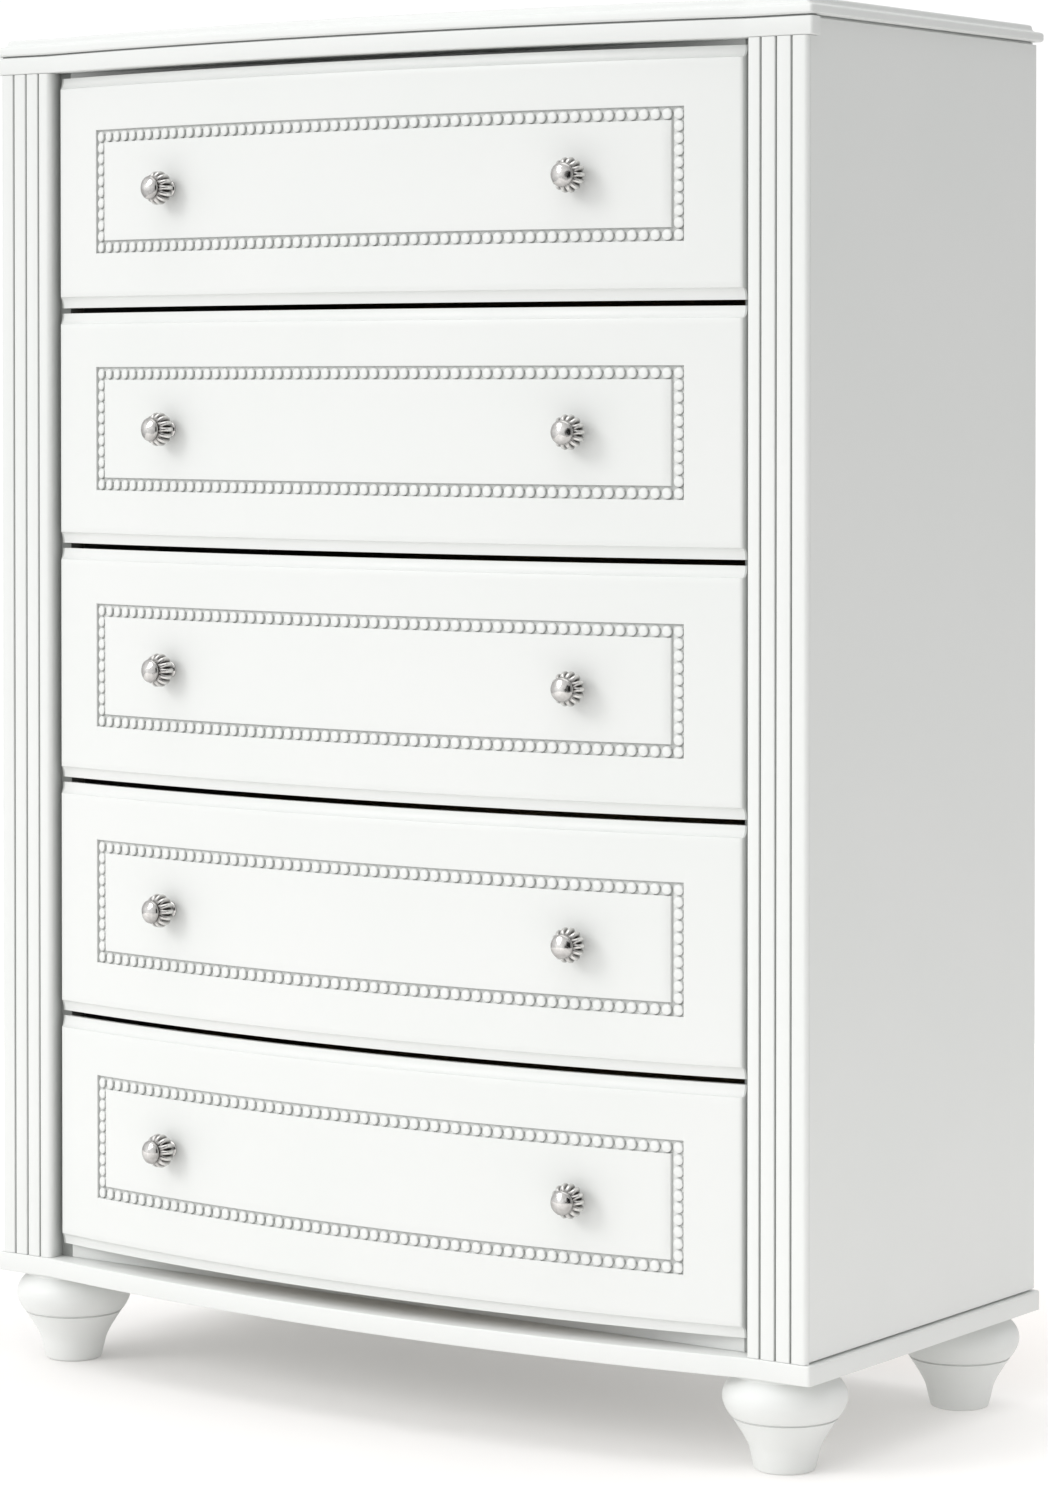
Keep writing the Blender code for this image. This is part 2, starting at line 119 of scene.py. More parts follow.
# A bead's (radius, height) as shares of its full size. Each bead leans along BEAD_LEAN, so that it is steep
# on its right and lower side and slopes gently on the other.
BEAD_RINGS = [
    (1.00, -0.10), (1.00, 0.22), (0.97, 0.42), (0.90, 0.62), (0.76, 0.80), (0.56, 0.92), (0.32, 0.99)
]
BEAD_LEAN = (0.62, -0.42)
BEAD_SHIFT = 0.0006
# The painted shade on a bead's low, steep side:
BEAD_SHADE = 0.85
BEAD_SHADE_TOP = 0.93  # share of a bead's height above which it has no shade
BEAD_SHADE_FADE = 0.30
BEAD_SHADE_SIDE = 0.15  # how far to the steep side, in radii, a bead's shade starts
BEAD_SHADE_TURN = 0.4

KNOB_X = 0.2317
KNOB_RIBS = 14
KNOB_SIDES = 8 * KNOB_RIBS
KNOB_RIB_DEPTH = 0.0026


def y_at(depth):
    return PILASTER_FACE + depth


def add_object(name, bm, material):
    """Makes an object of the bmesh and uses the bmesh up."""
    mesh = bpy.data.meshes.new(name)
    bm.to_mesh(mesh)
    bm.free()
    mesh.materials.append(material)
    made = bpy.data.objects.new(name, mesh)
    bpy.context.scene.collection.objects.link(made)
    return made


def bow_at(x, rise, half):
    """How far a circular arc of this rise, between -half and half, stands forward at x."""
    if abs(x) >= half:
        return 0.0
    radius = (half**2 + rise**2) / (2 * rise)
    return math.sqrt(radius**2 - x**2) - (radius - rise)


def front_bow(x):
    return bow_at(x, FRONT_BOW, FACE_HALF)


def front_slope(x):
    """The angle by which a drawer's bowed front has turned at x."""
    return math.asin(x * 2 * FRONT_BOW / (FACE_HALF**2 + FRONT_BOW**2))


def spread(low, high, steps):
    return [low + (high - low) * i / steps for i in range(steps + 1)]


def clamp(value):
    return min(1.0, max(0.0, value))


def arc(centre, radius, start, end, steps):
    """Points on a circle, from angle start to end in degrees."""
    angles = [math.radians(a) for a in spread(start, end, steps)]
    return [(centre[0] + radius * math.cos(a), centre[1] + radius * math.sin(a)) for a in angles]


def smooth_curve(points, steps):
    """A Catmull-Rom curve through the points, with this many steps between neighbours."""
    ends = [points[0], *points, points[-1]]
    found = []
    for before, here, there, after in zip(ends, ends[1:], ends[2:], ends[3:]):
        for i in range(steps):
            t = i / steps
            found.append(tuple(
                0.5 * (2 * q + (r - p) * t + (2 * p - 5 * q + 4 * r - s) * t**2
                       + (3 * q - p - 3 * r + s) * t**3)
                for p, q, r, s in zip(before, here, there, after)
            ))
    return found + [points[-1]]


# ---- Materials ---------------------------------------------------------------------------------------------


class Nodes:
    """Makes a material's nodes and links, one call to a node."""

    def __init__(self, name):
        self.material = bpy.data.materials.new(name)
        self.material.use_nodes = True
        self.tree = self.material.node_tree
        self.shader = self.tree.nodes["Principled BSDF"]
        self.place = self.add("ShaderNodeTexCoord").outputs["Object"]

    def add(self, kind, inputs=None, **settings):
        node = self.tree.nodes.new(kind)
        for key, value in settings.items():
            setattr(node, key, value)
        for key, value in (inputs or {}).items():
            if isinstance(value, bpy.types.NodeSocket):
                self.tree.links.new(value, node.inputs[key])
            else:
                node.inputs[key].default_value = value
        return node

    def stretched(self, scale):
        return self.add("ShaderNodeMapping", {"Vector": self.place, "Scale": scale}).outputs[0]

    # The painted shade that a piece gives in its painted_shade attribute.
    def painted_shade(self):
        return self.add("ShaderNodeAttribute", attribute_name="painted_shade").outputs["Fac"]

    def noise(self, scale, detail=3.0, roughness=0.5, vector=None, distortion=0.0):
        inputs = {"Vector": vector or self.place, "Scale": scale, "Detail": detail}
        inputs["Roughness"] = roughness
        inputs["Distortion"] = distortion
        return self.add("ShaderNodeTexNoise", inputs).outputs["Fac"]

    def ramp(self, factor, *stops):
        """A colour ramp. Its first two stops are the ends."""
        node = self.add("ShaderNodeValToRGB", {"Fac": factor})
        elements = node.color_ramp.elements
        for element, (position, colour) in zip(elements, stops):
            element.position = position
            element.color = (*colour, 1)
        for position, colour in stops[2:]:
            elements.new(position).color = (*colour, 1)
        return node.outputs["Color"]

    def to_range(self, value, low, high, start=0.0, end=1.0):
        inputs = {"Value": value, "From Min": start, "From Max": end, "To Min": low, "To Max": high}
        return self.add("ShaderNodeMapRange", inputs).outputs[0]

    def bump(self, height, distance, strength=1.0, before=None):
        inputs = {"Height": height, "Distance": distance, "Strength": strength}
        if before:
            inputs["Normal"] = before
        return self.add("ShaderNodeBump", inputs).outputs[0]

    def mix(self, factor, one, other):
        """One colour turning into the other as factor goes from 0 to 1."""
        return self.add("ShaderNodeMix", {0: factor, 6: one, 7: other}, data_type="RGBA").outputs[2]

    def shade(self, **inputs):
        """Sets the shader's inputs, whose names have _ for a space."""
        for key, value in inputs.items():
            socket = self.shader.inputs[key.replace("_", " ")]
            if isinstance(value, bpy.types.NodeSocket):
                self.tree.links.new(value, socket)
            else:
                socket.default_value = value
        return self.material


def paint_material():
    """Sprayed satin paint: slightly uneven in tone and gloss, with a fine orange-peel surface, and with painted
    shade in the recesses, as strong as a piece's painted_shade attribute gives."""
    n = Nodes("satin_paint")
    cloud = n.noise(5.0, 3.0)
    fine = n.noise(90.0, 4.0)
    tone = n.ramp(cloud, (0.30, (0.750, 0.768, 0.752)), (0.70, (0.768, 0.778, 0.766)))
    colour = n.mix(n.to_range(fine, 0.0, 0.35), tone, (0.745, 0.755, 0.742, 1))
    # Painted shade: the colour turns towards this grey where the painted_shade attribute is high.
    colour = n.mix(n.painted_shade(), colour, (0.300, 0.312, 0.300, 1))
    gloss = n.to_range(n.noise(14.0, 5.0), 0.34, 0.46, 0.3, 0.7)
    peel = n.bump(n.noise(620.0, 2.0), 0.00004, 0.5)
    surface = n.bump(n.noise(46.0, 3.0), 0.00012, 0.35, peel)
    return n.shade(Base_Color=colour, Roughness=gloss, Normal=surface)


def wood_material(name, grain):
    """Pale clear-sealed birch with short dark pores, its grain along axis 0, 1 or 2."""
    n = Nodes(name)
    along = n.stretched([1.0 if axis == grain else 9.0 for axis in range(3)])
    figure = n.noise(4.0, 6.0, 0.6, along, 0.6)
    tone = n.ramp(
        figure, (0.25, (0.52, 0.385, 0.235)), (0.75, (0.70, 0.560, 0.395)), (0.5, (0.63, 0.490, 0.325))
    )
    dashes = n.stretched([1.0 if axis == grain else 14.0 for axis in range(3)])
    pores = n.noise(60.0, 3.0, 0.6, dashes)
    dark = n.to_range(pores, 0.55, 0.0, 0.30, 0.42)
    colour = n.mix(dark, tone, (0.36, 0.250, 0.145, 1))
    gloss = n.to_range(figure, 0.48, 0.62)
    return n.shade(Base_Color=colour, Roughness=gloss, Normal=n.bump(pores, 0.00015, 0.5))


def board_material():
    """Brown hardboard with pressed fibres."""
    n = Nodes("back_hardboard")
    fibres = n.noise(240.0, 5.0, 0.65, n.stretched((1.0, 1.0, 2.4)), 1.2)
    cloud = n.noise(6.0, 3.0)
    tone = n.ramp(fibres, (0.30, (0.245, 0.155, 0.088)), (0.72, (0.430, 0.300, 0.185)))
    colour = n.mix(n.to_range(cloud, 0.0, 0.4), tone, (0.33, 0.225, 0.135, 1))
    gloss = n.to_range(fibres, 0.7, 0.86)
    return n.shade(Base_Color=colour, Roughness=gloss, Normal=n.bump(fibres, 0.0002, 0.6))


def metal_material():
    """Polished cast metal, with painted shade in its recesses and a painted dark reflection on a knob's cap,
    as strong as a piece's painted_shade attribute gives.
    """
    n = Nodes("cast_metal")
    cloud = n.noise(260.0, 4.0)
    bright = n.ramp(cloud, (0.3, (0.66, 0.645, 0.630)), (0.7, (0.84, 0.830, 0.815)))
    # Painted shade and painted dark reflection: the colour turns nearly black where painted_shade is high.
    colour = n.mix(n.painted_shade(), bright, (0.034, 0.029, 0.026, 1))
    gloss = n.to_range(n.noise(500.0, 3.0), 0.10, 0.22, 0.3, 0.7)
    return n.shade(Base_Color=colour, Metallic=1.0, Roughness=gloss, Normal=n.bump(cloud, 0.00012, 0.5))


PAINT = paint_material()
WOOD_ACROSS = wood_material("wood_grain_across", 0)
WOOD_DEEP = wood_material("wood_grain_deep", 1)
BOARD = board_material()
METAL = metal_material()

# ---- Mesh helpers ------------------------------------------------------------------------------------------


def make_piece(name, bm, material, body, stands_for, smooth_angle=32, painted_shade=None):
    """Turns the bmesh into a piece that rides on the body and stands for the CAD node, if it has one.

    painted_shade gives how much painted shade darkens the material at each point, from 0 to 1. It is a
    function of the point, or a list with a value for each.
    """
    bmesh.ops.recalc_face_normals(bm, faces=bm.faces)
    piece = add_object(name, bm, material)
    mesh = piece.data
    mesh.shade_smooth()
    mesh.set_sharp_from_angle(angle=math.radians(smooth_angle))
    if painted_shade:
        painted_shades = mesh.attributes.new("painted_shade", "FLOAT", "POINT")
        values = painted_shade if isinstance(painted_shade, list) else [painted_shade(vertex.co) for vertex in mesh.vertices]
        painted_shades.data.foreach_set("value", values)
    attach(piece, body)
    if stands_for:
        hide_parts(stands_for)


def loft(rings, bm=None):
    """A closed skin that runs from ring to ring, added to bm. Each ring has the same number of points."""
    bm = bm or bmesh.new()
    loops = [[bm.verts.new(point) for point in ring] for ring in rings]
    for low, high in zip(loops, loops[1:]):
        for i in range(len(low)):
            j = (i + 1) % len(low)
            bm.faces.new((low[i], low[j], high[j], high[i]))
    bm.faces.new(loops[0][::-1])
    bm.faces.new(loops[-1])
    return bm


def mirrored(bm):
    copy = bm.copy()
    bmesh.ops.scale(copy, vec=(-1, 1, 1), verts=copy.verts)
    return copy


# ---- Top, moulding and base --------------------------------------------------------------------------------


def plan_outline(side, front, back):
    """Outline from above of a board that reaches past the carcass, its front bowed between the pilasters."""
    half = HALF_WIDTH + side
    near = y_at(-front)
    far = y_at(back)
    r = BOARD_CORNER
    corners = arc((half - r, far - r), r, 90, 0, 5) + arc((half - r, near + r), r, 0, -90, 5)
    stations = spread(PILASTER_INNER, -PILASTER_INNER, 72)
    bow = [(x, near - bow_at(x, BOARD_BOW, PILASTER_INNER)) for x in stations]
    return corners + bow + [(-x, y) for x, y in reversed(corners)]


def bowed_board(layers, side, front, back, back_follows=False):
    """A bowed board built up from (height, inset) layers. Its back edge is straight, or is inset as well."""
    rings = []
    for height, inset in layers:
        far = back - inset if back_follows else back
        rings.append([(x, y, height) for x, y in plan_outline(side - inset, front - inset, far)])
    return loft(rings)


def eased(low, high, ease):
    """(height, inset) layers of an upright edge rounded off at its top and bottom."""
    soft = [(ease * (1 - math.cos(a)), ease * (1 - math.sin(a))) for a in spread(0, math.pi / 2, 3)]
    return [(low + h, i) for h, i in soft] + [(high - h, i) for h, i in reversed(soft)]


def make_boards():
    low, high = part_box("top_slab")
    edge = smooth_curve([
        (0.0068, 0.0000), (0.0082, 0.0008), (0.0091, 0.0028), (0.0097, 0.0060), (0.0112, 0.0075),
        (0.0142, 0.0082), (0.0155, 0.0092), (high.z - low.z, 0.0115),
    ], 3)
    layers = [(0.0, 0.0018), (0.0005, 0.0009), (0.0018, 0.0)] + edge
    layers = [(low.z + h, i) for h, i in layers]
    side = high.x - HALF_WIDTH
    board = bowed_board(layers, side, SLAB_OVERHANG, high.y - PILASTER_FACE, back_follows=True)
    make_piece("top_board", board, PAINT, "carcass", "top_slab")

    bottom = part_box("top_moulding")[0].z
    step = low.z - REVEAL
    layers = eased(bottom, step, BOARD_EASE) + [(step, REVEAL_DEPTH), (low.z - GAP, REVEAL_DEPTH)]
    board = bowed_board(layers, side, MOULDING_OVERHANG, MOULDING_BACK - GAP)

    # Painted shade in the reveal between the top and its moulding.
    def painted_shade(point):
        return REVEAL_SHADE if point.z > step - GAP else 0.0

    make_piece("cornice", board, PAINT, "carcass", "top_moulding", painted_shade=painted_shade)

    low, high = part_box("base_board")
    layers = eased(low.z, high.z, BOARD_EASE)
    board = bowed_board(layers, high.x - HALF_WIDTH, SLAB_OVERHANG, high.y - PILASTER_FACE)
    make_piece("plinth_board", board, PAINT, "carcass", "base_board")


# ---- Pilasters and feet ------------------------------------------------------------------------------------


GROOVES = [FIRST_REED + REED_PITCH * i for i in range(REED_COUNT - 1)]


def reed_depth(inwards, width):
    """How far back the pilaster's face lies, this far in from its outer corner."""
    nearest = min(abs(inwards - groove) for groove in GROOVES)
    edges = [0.0, *GROOVES, width]
    reed = max(i for i, edge in enumerate(edges[:-1]) if inwards >= edge)
    across = (inwards - edges[reed]) / (edges[reed + 1] - edges[reed])
    depth = REED_CROWN * (2 * across - 1) ** 2
    if nearest < GROOVE_REACH:
        wave = 0.5 + 0.5 * math.cos(math.pi * nearest / GROOVE_REACH)
        depth += (GROOVE_DEPTH - REED_CROWN) * wave**0.8
    return depth


def make_pilasters():
    """Each pilaster with its stile, from one outline of (distance in, depth) points."""
    width = HALF_WIDTH - PILASTER_INNER
    r = PILASTER_RADIUS
    face = set(spread(r, width - r, 40))
    for groove in GROOVES:
        face |= set(spread(groove - GROOVE_REACH, groove + GROOVE_REACH, 10))
    points = arc((r, r), r, 180, 270, 7)[:-1]
    points += [(u, reed_depth(u, width)) for u in sorted(face)]
    points += arc((width - r, r), r, 270, 360, 7)[1:]
    stile = HALF_WIDTH - STILE_INNER
    back = FRAME_DEPTH + STILE_THICK
    points += [(width, FRAME_DEPTH), (stile, FRAME_DEPTH), (stile, back), (PANEL_THICK, back)]
    points += [(PANEL_THICK, PANEL_FRONT - GAP), (0, PANEL_FRONT - GAP)]
    low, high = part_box("right_pilaster")
    outline = [(HALF_WIDTH - u, y_at(depth)) for u, depth in points]

    # Painted shade, deeper in the grooves and on the side that faces the drawers.
    def painted_shade(point):
        depth = point.y - PILASTER_FACE
        inwards = HALF_WIDTH - abs(point.x)
        if inwards <= r:
            return 0.0
        start, reach = GROOVE_SHADE if inwards < width - r else POST_SIDE_SHADE
        return clamp((depth - start) / reach)

    right = loft([[(x, y, z) for x, y in outline] for z in (low.z, high.z)])
    left = mirrored(right)
    make_piece("reeded_post_right", right, PAINT, "carcass", "right_pilaster", 40, painted_shade)
    make_piece("reeded_post_left", left, PAINT, "carcass", "left_pilaster", 40, painted_shade)


# (height, radius) along a turned foot, from the floor up: the flaring shaft, a fine turned line, the bun and
# the plain neck.
FOOT_SHAFT = [
    (0.0000, 0.0246), (0.0008, 0.0262), (0.0026, 0.0273), (0.0120, 0.0297), (0.0207, 0.0319),
    (0.0280, 0.0353), (0.0352, 0.0396), (0.0420, 0.0440), (0.0454, 0.0462),
]
FOOT_LINE = [(0.0461, 0.0469), (0.0466, 0.0460), (0.0474, 0.0460), (0.0480, 0.0476)]
FOOT_BUN = [
    (0.0485, 0.0486), (0.0520, 0.0511), (0.0563, 0.0534), (0.0600, 0.0547), (0.0643, 0.0555),
    (0.0690, 0.0550), (0.0730, 0.0536), (0.0770, 0.0510), (0.0803, 0.0479), (0.0826, 0.0456),
]
FOOT_NECK = 0.0832
FOOT_NECK_RADIUS = 0.0450
FOOT_SIDES = 72
FOOT_LINE_MIDDLE = 0.0470
FOOT_LINE_REACH = 0.0008
FOOT_LINE_SHADE = 0.5


def line_painted_shade(point):
    """Painted shade in the turned line between a foot's flare and its bun."""
    return FOOT_LINE_SHADE * max(0.0, 1 - abs(point.z - FOOT_LINE_MIDDLE) / FOOT_LINE_REACH)


def make_feet():
    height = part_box("foot_front_left")[1].z
    profile = smooth_curve(FOOT_SHAFT, 3) + FOOT_LINE + smooth_curve(FOOT_BUN, 3)
    profile += [(FOOT_NECK, FOOT_NECK_RADIUS), (height, FOOT_NECK_RADIUS)]
    for row in ("front", "rear"):
        for hand, _ in HANDS:
            low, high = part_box(f"foot_{row}_{hand}")
            middle = (low + high) / 2
            rings = []
            for z, radius in profile:
                circle = arc((middle.x, middle.y), radius, 0, 360, FOOT_SIDES)[:-1]
                rings.append([(x, y, z) for x, y in circle])
            node = f"foot_{row}_{hand}"
            make_piece("turned_" + node, loft(rings), PAINT, "carcass", node, 40, line_painted_shade)


# ---- Drawer fronts -----------------------------------------------------------------------------------------


def face_heights():
    """Heights on a drawer's front where its face has a row of points, and how deep the cove is at each."""
    sweep = COVE_DEPTH - COVE_QUIRK
    rows = [(0.0, COVE_DEPTH)]
    rows += [(COVE_HEIGHT * h, COVE_QUIRK + sweep * d) for d, h in arc((0, 0), 1, 0, 90, 9)[1:]]
    rows += [(COVE_HEIGHT + 0.00015, 0.0002), (COVE_HEIGHT + 0.0006, 0.0)]
    middle = FRONT_HEIGHT / 2
    outer = CHANNEL_HEIGHT / 2
    for wall, into in ((outer, -1), (outer - CHANNEL_WIDTH, 1)):
        rows += [(middle - wall + step * into, 0.0) for step in CHANNEL_STEPS]
    rows += [(height, 0.0) for height in spread(COVE_HEIGHT + 0.006, middle, 12)]
    rows += [(FRONT_HEIGHT - height, depth) for height, depth in rows]
    return sorted(set((round(height, 6), depth) for height, depth in rows))


def face_stations():
    """Places across a drawer's front where its face has a column of points."""
    stations = set(spread(-FACE_HALF + END_ROUND, FACE_HALF - END_ROUND, 64))
    for a in spread(0, math.pi / 2, 7):
        x = LIP_HALF - END_ROUND * (1 - math.sin(a))
        stations |= {x, -x}
    for wall in (CHANNEL_HALF, CHANNEL_HALF - CHANNEL_WIDTH):
        for step in CHANNEL_STEPS:
            stations |= {wall + step, -wall - step, wall - step, -wall + step}
    return sorted(set(round(x, 6) for x in stations))


def channel_depth(x, height):
    """The channel's depth: full between its walls, with their edges just taken off."""
    dx = abs(x)
    dz = abs(height - FRONT_HEIGHT / 2)
    outer_z = CHANNEL_HEIGHT / 2
    inside_outer = min(CHANNEL_HALF - dx, outer_z - dz)
    outside_inner = max(dx - CHANNEL_HALF + CHANNEL_WIDTH, dz - outer_z + CHANNEL_WIDTH)
    into = min(inside_outer, outside_inner)
    return CHANNEL_DEPTH * clamp((into + CHANNEL_EASE_START) / CHANNEL_EASE) ** 1.5


def end_depth(x):
    """How far back the face has rounded over near a drawer front's ends."""
    past = abs(x) - (LIP_HALF - END_ROUND)
    if past <= 0:
        return 0.0
    return COVE_DEPTH * (1 - math.sqrt(max(0.0, 1 - (past / END_ROUND) ** 2)))


def make_front(number):
    """A bowed drawer front with coved long edges and a channel for the beading."""
    node = f"drawer_{number}_front"
    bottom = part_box(node)[0].z
    rows = face_heights()
    bm = bmesh.new()
    columns = []
    backs = []
    for x in face_stations():
        column = []
        for height, cove in rows:
            depth = max(cove, end_depth(x)) + channel_depth(x, height)
            column.append(bm.verts.new((x, y_at(FACE_DEPTH + depth - front_bow(x)), bottom + height)))
        columns.append(column)
        back = y_at(FACE_DEPTH + FRONT_THICK - front_bow(x))
        backs.append([bm.verts.new((x, back, bottom + height)) for height in (0.0, FRONT_HEIGHT)])
    for a, b in zip(columns, columns[1:]):
        for i in range(len(rows) - 1):
            bm.faces.new((a[i], b[i], b[i + 1], a[i + 1]))
    for (a, b), (c, d) in zip(zip(columns, backs), zip(columns[1:], backs[1:])):
        bm.faces.new((b[0], b[1], d[1], d[0]))
        bm.faces.new((a[0], b[0], d[0], c[0]))
        bm.faces.new((a[-1], c[-1], d[1], b[1]))
    for column, back in ((columns[0], backs[0]), (columns[-1], backs[-1])):
        bm.faces.new((*column, back[1], back[0]))

    def painted_shade(point):
        """Painted shade on the ends, and at the foot of the channel's top and left walls, which face away from
        the light.
        """
        if abs(point.x) > FACE_HALF - END_SHADE_REACH:
            back = point.y - y_at(FACE_DEPTH - front_bow(point.x))
            return min(1.0, END_SHADE + back / END_SHADE_DEPTH)
        height = point.z - bottom - FRONT_HEIGHT / 2
        outer = CHANNEL_HEIGHT / 2
        under = min(abs(height - outer), abs(height + outer - CHANNEL_WIDTH))
        beside = min(abs(point.x + CHANNEL_HALF), abs(point.x - CHANNEL_HALF + CHANNEL_WIDTH))
        shade = CHANNEL_SHADE if min(under, beside) < CHANNEL_SHADE_REACH else 0.0
        return shade * channel_depth(point.x, point.z - bottom) / CHANNEL_DEPTH

    make_piece(f"drawer_{number}_face", bm, PAINT, f"drawer_{number}", node, 40, painted_shade)


def bead_places():
    """(x, height from the front's middle) of each bead, once round the channel."""
    across = CHANNEL_HALF - CHANNEL_WIDTH / 2
    up = (CHANNEL_HEIGHT - CHANNEL_WIDTH) / 2
    places = [(x, z) for x in spread(-across, across, BEADS_ALONG - 1) for z in (-up, up)]
    places += [(x, z) for z in spread(-up, up, BEADS_UP - 1)[1:-1] for x in (-across, across)]
    return places


def bead_painted_shade(u, w, rise):
    """How much painted shade a bead has at u and w from its middle, in radii: only low on the side that it
    leans to, which faces away from the light.
    """
    side = (u * BEAD_LEAN[0] + w * BEAD_LEAN[1]) / math.hypot(*BEAD_LEAN)
    low = clamp((BEAD_SHADE_TOP - rise) / BEAD_SHADE_FADE)
    return BEAD_SHADE * low * clamp((side - BEAD_SHADE_SIDE) / BEAD_SHADE_TURN)


def make_beading(number):
    """A run of domes round the channel, each a little different in size, as a moulded strip is."""
    low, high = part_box(f"drawer_{number}_front")
    middle = (low.z + high.z) / 2
    draw = random.Random(number)
    bm = bmesh.new()
    floor = FACE_DEPTH + CHANNEL_DEPTH
    painted_shade = []
    for x, z in bead_places():
        size = BEAD_RADIUS * draw.uniform(0.985, 1.01)
        spin = Matrix.Rotation(front_slope(x), 3, "Z")
        centre = Vector((x + BEAD_SHIFT, y_at(floor - front_bow(x)), middle + z - BEAD_SHIFT))
        rings = []
        for share, rise in BEAD_RINGS:
            lean = [size * (1 - share) * part for part in BEAD_LEAN]
            circle = arc(lean, size * share, 0, 360, BEAD_SIDES)[:-1]
            rings.append([centre + spin @ Vector((u, -BEAD_HEIGHT * rise, w)) for u, w in circle])
            painted_shade += [bead_painted_shade(u / size, w / size, rise) for u, w in circle]
        loft(rings, bm)
    make_piece(f"drawer_{number}_beading", bm, PAINT, f"drawer_{number}", None, 50, painted_shade)


# ---- Knobs -------------------------------------------------------------------------------------------------

# Each row is a distance from the drawer's face, a radius, how deep the ribs cut there and how much painted
# shade it has (on the cap, a painted dark reflection), the last two as shares.
KNOB_ROWS = [
    (0.0003, 0.0078, 0.0, 0.3), (0.0012, 0.0080, 0.0, 0.0), (0.0020, 0.0074, 0.0, 0.2),
    (0.0032, 0.0058, 0.0, 0.8), (0.0050, 0.0060, 0.0, 0.8), (0.0062, 0.0082, 0.2, 0.3),
    (0.0078, 0.0116, 0.7, 0.0), (0.0098, 0.0141, 1.0, 0.0), (0.0122, 0.0156, 1.0, 0.0),
    (0.0150, 0.0161, 1.0, 0.0), (0.0178, 0.0156, 1.0, 0.0), (0.0202, 0.0143, 0.9, 0.0),
    (0.0222, 0.0124, 0.7, 0.1), (0.0234, 0.0104, 0.3, 0.7), (0.0241, 0.0094, 0.0, 1.0),
    (0.0247, 0.0093, 0.0, 1.0), (0.0253, 0.0101, 0.0, 0.9), (0.0261, 0.0108, 0.0, 0.6),
    (0.0270, 0.0110, 0.0, 0.5), (0.0279, 0.0107, 0.0, 0.5), (0.0287, 0.0099, 0.0, 0.4),
    (0.0294, 0.0088, 0.0, 0.4), (0.0300, 0.0073, 0.0, 0.3), (0.0307, 0.0055, 0.0, 0.2),
    (0.0313, 0.0038, 0.0, 0.1), (0.0318, 0.0020, 0.0, 0.0), (0.0320, 0.0008, 0.0, 0.0),
]


def make_knob(number, hand, sign):
    """A ball with ribs in its side and a plain round cap, square to the bowed front."""
    node = f"drawer_{number}_knob_{hand}"
    low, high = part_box(node)
    place = Vector((sign * KNOB_X, y_at(FACE_DEPTH - front_bow(KNOB_X)), (low.z + high.z) / 2))
    aim = Matrix.Rotation(sign * front_slope(KNOB_X), 3, "Z") @ Matrix.Rotation(math.pi / 2, 3, "X")
    rings = []
    painted_shades = []
    for along, radius, ribs, dark in KNOB_ROWS:
        ring = []
        for i in range(KNOB_SIDES):
            angle = math.tau * i / KNOB_SIDES
            valley = (0.5 - 0.5 * math.cos(KNOB_RIBS * angle)) ** 2
            r = radius - KNOB_RIB_DEPTH * ribs * valley
            ring.append(place + aim @ Vector((r * math.cos(angle), r * math.sin(angle), along)))
            # Painted shade in the rib valleys, and each row's own painted shade and dark reflection.
            painted_shades.append(max(dark, ribs * valley**0.8))
        rings.append(ring)
    name = f"drawer_{number}_pull_{hand}"
    make_piece(name, loft(rings), METAL, f"drawer_{number}", node, 60, painted_shades)


# ---- The CAD's own boards ----------------------------------------------------------------------------------


def finish_node(name, material, edge):
    """Gives a CAD node its material, and takes its sharp edges off."""
    node = NODES[name]
    node.data.materials.clear()
    node.data.materials.append(material)
    bevel = node.modifiers.new("soft_edges", "BEVEL")
    bevel.width = edge
    bevel.segments = 2
    bevel.limit_method = "ANGLE"
    bevel.angle_limit = math.radians(40)
    bevel.harden_normals = True


def finish_nodes():
    for name in ("left_side_panel", "right_side_panel", "bottom_rail", "top_rail"):
        finish_node(name, PAINT, 0.0005)
    finish_node("back_panel", BOARD, 0.0004)
    for number in DRAWERS:
        for hand, _ in HANDS:
            finish_node(f"runner_{number}_{hand}", WOOD_DEEP, 0.0003)
            finish_node(f"drawer_{number}_side_{hand}", WOOD_DEEP, 0.0006)
        finish_node(f"drawer_{number}_back", WOOD_ACROSS, 0.0006)
        finish_node(f"drawer_{number}_bottom", WOOD_ACROSS, 0.0004)


# ---- Studio ------------------------------------------------------------------------------------------------


FLOOR_RADIUS = 2.4
# The floor's glow paints a soft shadow round this place.
PAINTED_SHADOW_CENTRE = (-0.25, -0.35, 0.0)  # where the floor glows least
SURROUND_RADIUS = 15.0
CARD_SIZE = 2.2
CARD_PLACE = (4.0, -5.2, 1.2)
CARD_FACING = (4.0, -5.2, 0.4)


def hide_from(thing, *rays):
    for ray in rays:
        setattr(thing, "visible_" + ray, False)


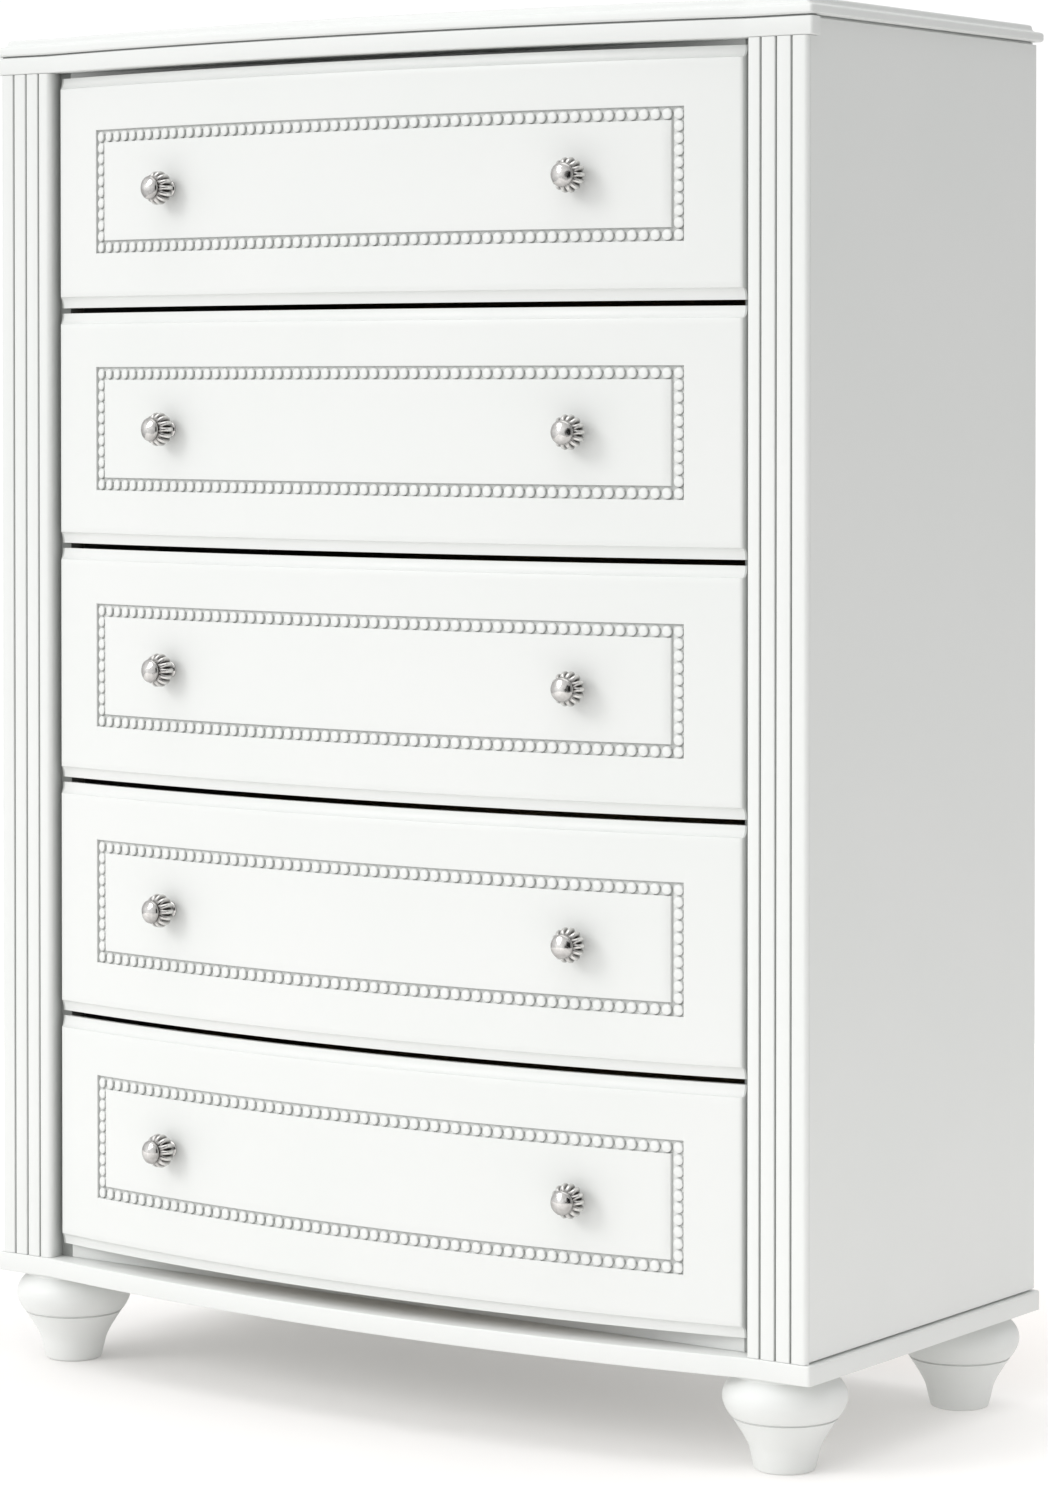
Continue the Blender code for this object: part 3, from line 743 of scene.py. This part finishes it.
def make_stage():
    """A pale floor that glows, least near the object to paint a soft shadow there and brightening to white
    further out, and a white surround for the camera only.
    """
    n = Nodes("studio_floor")
    tone = n.ramp(n.noise(1.5, 2.0), (0.3, (0.804, 0.792, 0.782)), (0.7, (0.816, 0.804, 0.794)))
    ends = {0: n.place, 1: PAINTED_SHADOW_CENTRE}
    # Painted shadow and glow: the floor's emission is weakest at PAINTED_SHADOW_CENTRE and grows away from it.
    away = n.add("ShaderNodeVectorMath", ends, operation="DISTANCE").outputs["Value"]
    glow = n.to_range(away, 0.125, 0.34, 0.40, 1.20)
    glow.node.interpolation_type = "SMOOTHSTEP"
    n.shade(Base_Color=tone, Roughness=0.9, Emission_Color=(1.0, 0.982, 0.965, 1.0), Emission_Strength=glow)
    bm = bmesh.new()
    bmesh.ops.create_circle(bm, cap_ends=True, segments=96, radius=FLOOR_RADIUS)
    floor = add_object("floor", bm, n.material)

    white = bpy.data.materials.new("studio_surround")
    white.use_nodes = True
    white.node_tree.nodes.clear()
    glow = white.node_tree.nodes.new("ShaderNodeEmission")
    output = white.node_tree.nodes.new("ShaderNodeOutputMaterial")
    glow.inputs["Color"].default_value = (1, 1, 1, 1)
    glow.inputs["Strength"].default_value = 1.05
    white.node_tree.links.new(glow.outputs[0], output.inputs["Surface"])
    bm = bmesh.new()
    bmesh.ops.create_uvsphere(bm, u_segments=48, v_segments=24, radius=SURROUND_RADIUS)
    surround = add_object("surround", bm, white)
    hide_from(surround, "diffuse", "glossy", "transmission", "volume_scatter", "shadow")


def make_world():
    """Soft light from all round, brightest from above and in front to the left."""
    world = bpy.data.worlds.new("studio")
    world.use_nodes = True
    tree = world.node_tree
    background = tree.nodes["Background"]
    direction = tree.nodes.new("ShaderNodeTexCoord").outputs["Generated"]
    dot = tree.nodes.new("ShaderNodeVectorMath")
    dot.operation = "DOT_PRODUCT"
    dot.inputs[1].default_value = Vector((-0.44, -0.68, 0.59)).normalized()
    tree.links.new(direction, dot.inputs[0])
    level = tree.nodes.new("ShaderNodeMapRange")
    level.interpolation_type = "SMOOTHSTEP"
    for key, value in (("From Min", 0.0), ("From Max", 1.0), ("To Min", 0.55), ("To Max", 1.11)):
        level.inputs[key].default_value = value
    tree.links.new(dot.outputs["Value"], level.inputs["Value"])
    tree.links.new(level.outputs[0], background.inputs["Strength"])
    background.inputs["Color"].default_value = (1.0, 1.0, 1.0, 1.0)
    bpy.context.scene.world = world


def add_sun(name, towards, angle, strength):
    """A far light that shines in the direction towards. Its angle, in degrees, softens its shadows."""
    light = bpy.data.lights.new(name, "SUN")
    light.energy = strength
    light.angle = math.radians(angle)
    lamp = bpy.data.objects.new(name, light)
    lamp.rotation_mode = "QUATERNION"
    lamp.rotation_quaternion = Vector(towards).to_track_quat("-Z", "Y")
    bpy.context.scene.collection.objects.link(lamp)


def make_card():
    """A dark card behind the camera that only reflections see, to give the knobs contrast."""
    n = Nodes("dark_card")
    n.shade(Base_Color=(0.01, 0.01, 0.01, 1.0), Roughness=0.9)
    bm = bmesh.new()
    bmesh.ops.create_grid(bm, x_segments=1, y_segments=1, size=CARD_SIZE)
    card = add_object("dark_card", bm, n.material)
    card.location = CARD_PLACE
    card.rotation_mode = "QUATERNION"
    card.rotation_quaternion = Vector(CARD_FACING).to_track_quat("Z", "Y")
    hide_from(card, "camera", "diffuse", "transmission", "volume_scatter", "shadow")


def make_camera():
    """A long lens, to the right of the front and a little above the middle, tilted down by one degree."""
    camera = bpy.data.cameras.new("camera")
    camera.sensor_fit = "VERTICAL"
    camera.sensor_width = 36
    camera.sensor_height = 36
    camera.lens = 110.6112
    camera.shift_y = -0.19003
    camera.clip_start = 0.1
    camera.clip_end = 60
    viewer = bpy.data.objects.new("camera", camera)
    viewer.location = (2.5360, y_at(-3.3827), 0.9496)
    viewer.rotation_euler = (math.radians(89.026), 0, math.radians(35.055))
    bpy.context.scene.collection.objects.link(viewer)
    bpy.context.scene.camera = viewer


make_camera()
make_boards()
make_pilasters()
make_feet()
for drawer in DRAWERS:
    make_front(drawer)
    make_beading(drawer)
    for hand, sign in HANDS:
        make_knob(drawer, hand, sign)
finish_nodes()
make_stage()
make_world()
make_card()
add_sun("key", (0.45, 0.75, -0.48), 24, 0.72)
add_sun("overhead", (0, 0, -1), 60, 0.8)
bpy.context.scene.view_settings.view_transform = "Standard"
